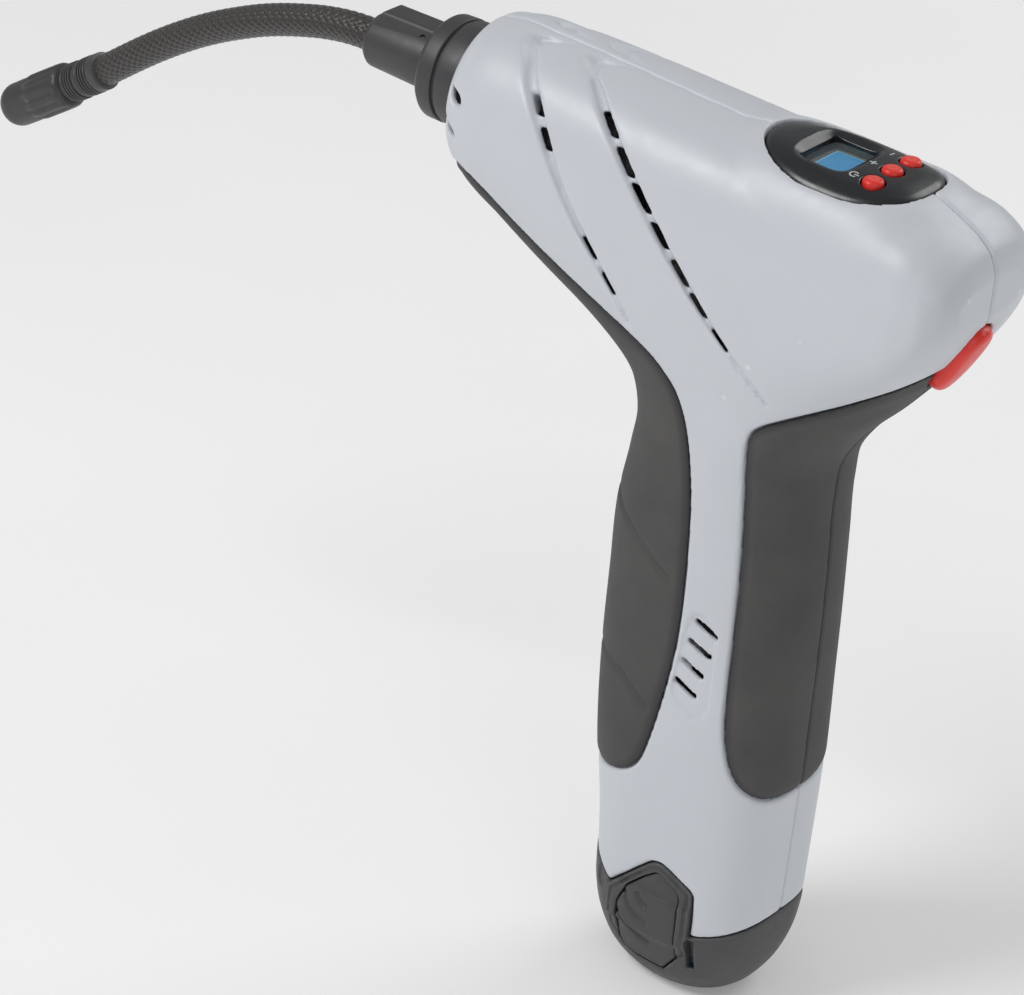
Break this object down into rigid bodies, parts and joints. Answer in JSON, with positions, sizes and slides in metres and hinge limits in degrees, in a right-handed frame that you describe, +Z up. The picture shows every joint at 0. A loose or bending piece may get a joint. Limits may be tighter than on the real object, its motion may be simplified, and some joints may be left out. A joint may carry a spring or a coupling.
{
  "type": "portable tire inflator",
  "caption": "Cordless pistol-shaped tire inflator with a clip-in battery foot, display and keys on top, thumb trigger at the tail and a short braided hose with a screw-on valve chuck.",
  "frame": {"origin": "on the flat bottom of the battery foot, below the handle, with the head level", "axes": "+Z up along the handle, -X out of the nose and hose, +X towards the tail and trigger, -Y to the tool's left side"},
  "size_m": [0.3018, 0.051, 0.2339],
  "materials": {
    "shell": "satin moulded light grey, fine spark texture",
    "rubber": "matte soft-touch over-mould, dark grey",
    "rubber_seal": "plain black rubber",
    "black_plastic": "moulded charcoal, light sheen",
    "battery_plastic": "moulded dark grey, satin",
    "gloss_panel": "polished near-black",
    "red_plastic": "satin red",
    "braid": "tight black textile braid over the hose",
    "window": "clear acrylic window",
    "display": "blue negative LCD, blank",
    "board": "green solder mask",
    "steel": "bright zinc",
    "aluminium": "die-cast, as cast",
    "brass": "turned brass",
    "armature": "laminations with copper windings",
    "white_plastic": "natural acetal",
    "cell_wrap": null
  },
  "bodies": {
    "housing": {"left_housing": "shell", "right_housing": "shell", "front_grip_left": "rubber", "front_grip_right": "rubber", "rear_grip_left": "rubber", "rear_grip_right": "rubber", "housing_screw_1": "steel", "housing_screw_2": "steel", "housing_screw_3": "steel", "housing_screw_4": "steel", "housing_screw_5": "steel", "housing_screw_6": "steel", "nose_collar": "black_plastic", "hose_connector": "black_plastic", "hose": "braid", "bend_relief": "black_plastic", "control_panel": "gloss_panel", "display_window": "window", "display_module": "display", "control_board": "board", "pressure_sensor": "black_plastic", "power_switch": "black_plastic", "plus_switch": "black_plastic", "minus_switch": "black_plastic", "trigger_switch": "black_plastic", "motor_can": "steel", "motor_endbell": "black_plastic", "gear_axle": "steel", "pump_frame": "aluminium", "cylinder": "aluminium", "cylinder_head": "aluminium", "outlet_elbow": "black_plastic", "terminal_block": "black_plastic"},
    "chuck": {"chuck_sleeve": "black_plastic", "chuck_insert": "brass", "chuck_seal": "rubber_seal"},
    "battery": {"battery_foot": "battery_plastic", "battery_tower": "battery_plastic", "battery_cell_1": "cell_wrap", "battery_cell_2": "cell_wrap", "battery_cell_3": "cell_wrap", "battery_contacts": "brass"},
    "latch_left_body": {"latch_left": "battery_plastic"},
    "latch_right_body": {"latch_right": "battery_plastic"},
    "trigger": {"trigger_button": "red_plastic"},
    "power_key": {"power_button": "red_plastic"},
    "plus_key": {"plus_button": "red_plastic"},
    "minus_key": {"minus_button": "red_plastic"},
    "rotor": {"motor_armature": "armature", "motor_shaft": "steel", "pinion_gear": "steel"},
    "crank": {"crank_gear": "white_plastic", "crank_pin": "steel"},
    "pump_piston": {"piston": "aluminium", "piston_ring": "rubber_seal", "wrist_pin": "steel", "connecting_rod": "aluminium"}
  },
  "joints": [
    {"name": "trigger_press", "type": "slide", "parent": "housing", "child": "trigger", "axis": [-0.8829, 0, 0.4695], "range_m": [0, 0.003], "stiffness_N_per_m": 600},
    {"name": "power_press", "type": "slide", "parent": "housing", "child": "power_key", "axis": [0, 0, -1], "range_m": [0, 0.0008], "stiffness_N_per_m": 400},
    {"name": "plus_press", "type": "slide", "parent": "housing", "child": "plus_key", "axis": [0, 0, -1], "range_m": [0, 0.0008], "stiffness_N_per_m": 400},
    {"name": "minus_press", "type": "slide", "parent": "housing", "child": "minus_key", "axis": [0, 0, -1], "range_m": [0, 0.0008], "stiffness_N_per_m": 400},
    {"name": "battery_slide", "type": "slide", "parent": "housing", "child": "battery", "axis": [0, 0, -1], "range_m": [0, 0.09]},
    {"name": "latch_left_press", "type": "slide", "parent": "battery", "child": "latch_left_body", "axis": [0, 1, 0], "range_m": [0, 0.001], "stiffness_N_per_m": 800},
    {"name": "latch_right_press", "type": "slide", "parent": "battery", "child": "latch_right_body", "axis": [0, -1, 0], "range_m": [0, 0.001], "stiffness_N_per_m": 800},
    {"name": "chuck_spin", "type": "hinge", "parent": "housing", "child": "chuck", "pos_m": [-0.216, 0, 0.1751], "axis": [-0.8261, 0, -0.5635], "continuous": true},
    {"name": "motor_spin", "type": "hinge", "parent": "housing", "child": "rotor", "pos_m": [-0.003, 0, 0.14], "axis": [0, 0, 1], "continuous": true},
    {"name": "crank_spin", "type": "hinge", "parent": "housing", "child": "crank", "pos_m": [-0.0215, 0, 0.18], "axis": [0, 0, 1], "continuous": true},
    {"name": "piston_stroke", "type": "slide", "parent": "housing", "child": "pump_piston", "axis": [1, 0, 0], "range_m": [0, 0.014]}
  ],
  "couplings": [
    {"joint": "crank_spin", "follows": "motor_spin", "ratio": -0.32143}
  ]
}
